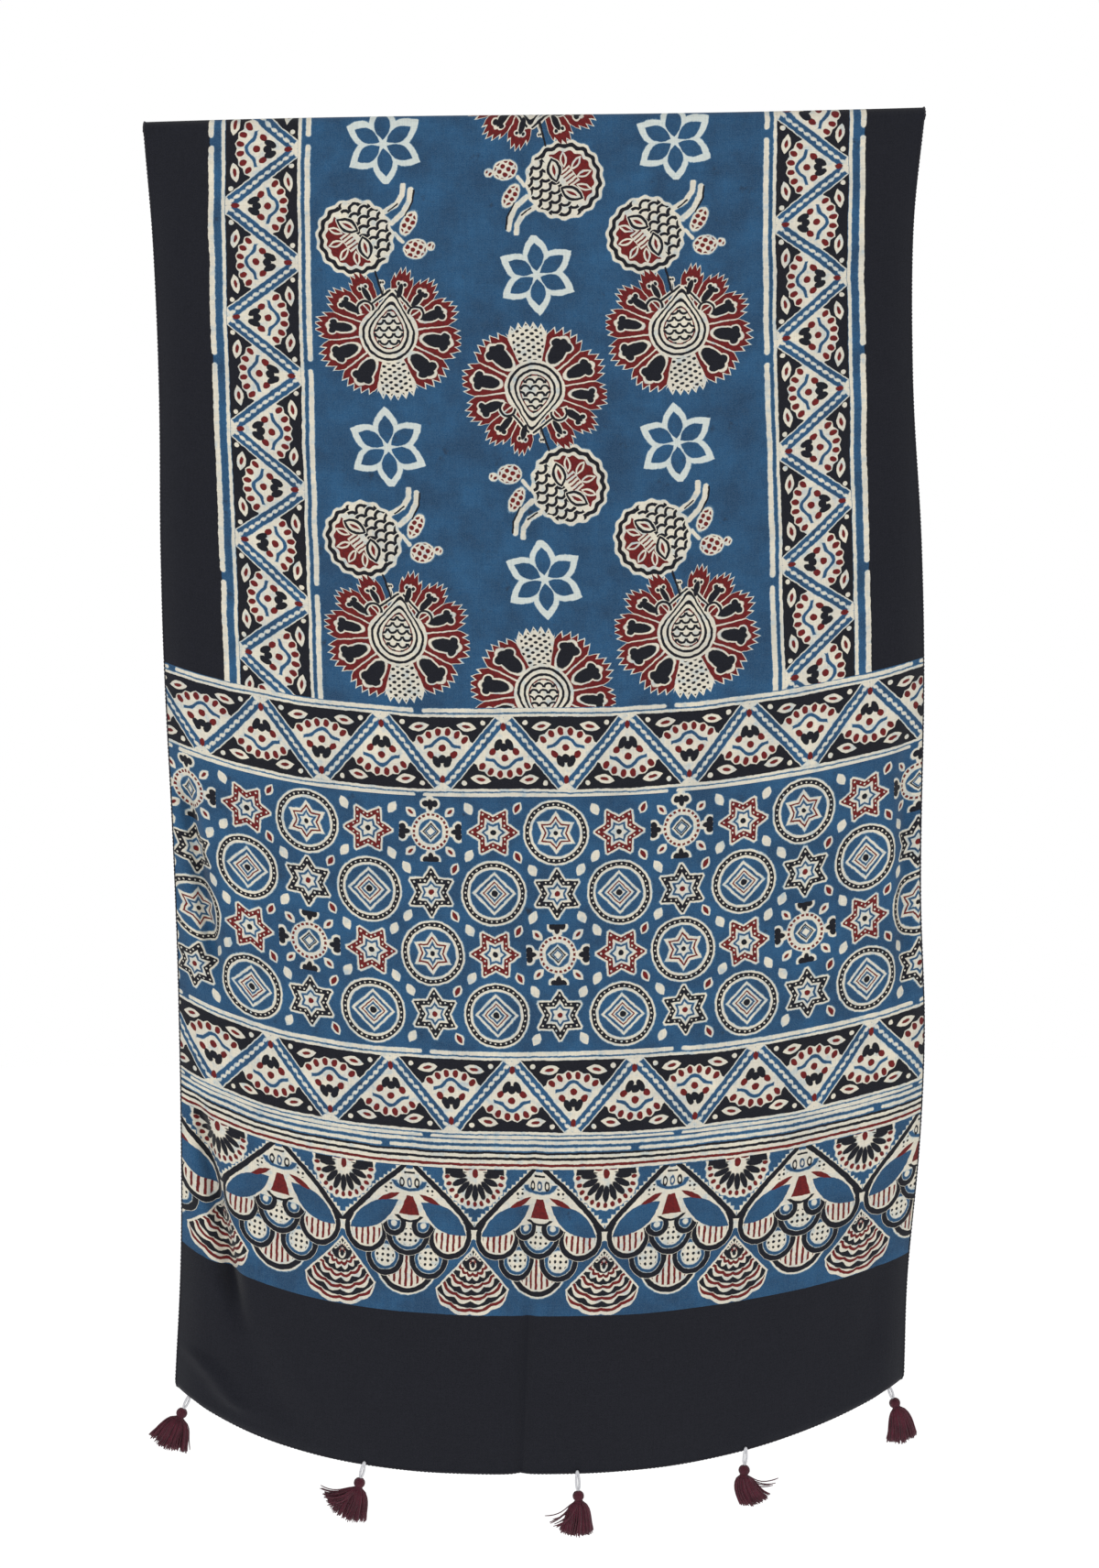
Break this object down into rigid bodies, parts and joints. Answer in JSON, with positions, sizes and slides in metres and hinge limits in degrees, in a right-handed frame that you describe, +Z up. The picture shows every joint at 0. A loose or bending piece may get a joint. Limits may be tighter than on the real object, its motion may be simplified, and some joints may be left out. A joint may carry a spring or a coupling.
{
  "type": "ajrakh cloth, a printed stole with hem tassels",
  "caption": "Block-printed stole hung over a hidden rail by its middle, with a bowed hem and small yarn tassels on loops.",
  "frame": {"origin": "middle of the fold's crest, where a rail inside the fold carries the cloth", "axes": "+Z up, +X along the fold to the viewer's right, -Y out of the printed front drop"},
  "size_m": [0.5793, 0.1116, 1.0283],
  "materials": {
    "cloth": "matt, printed in blue, black, madder red and cream",
    "loop_thread": "white twisted thread",
    "tassel_yarn": "dark maroon yarn with a slight sheen"
  },
  "bodies": {
    "root": {"cloth": "cloth", "tassel_loop_1": "loop_thread", "tassel_loop_2": "loop_thread", "tassel_loop_3": "loop_thread", "tassel_loop_4": "loop_thread", "tassel_loop_5": "loop_thread", "tassel_1": "tassel_yarn", "tassel_2": "tassel_yarn", "tassel_3": "tassel_yarn", "tassel_4": "tassel_yarn", "tassel_5": "tassel_yarn"}
  },
  "joints": []
}
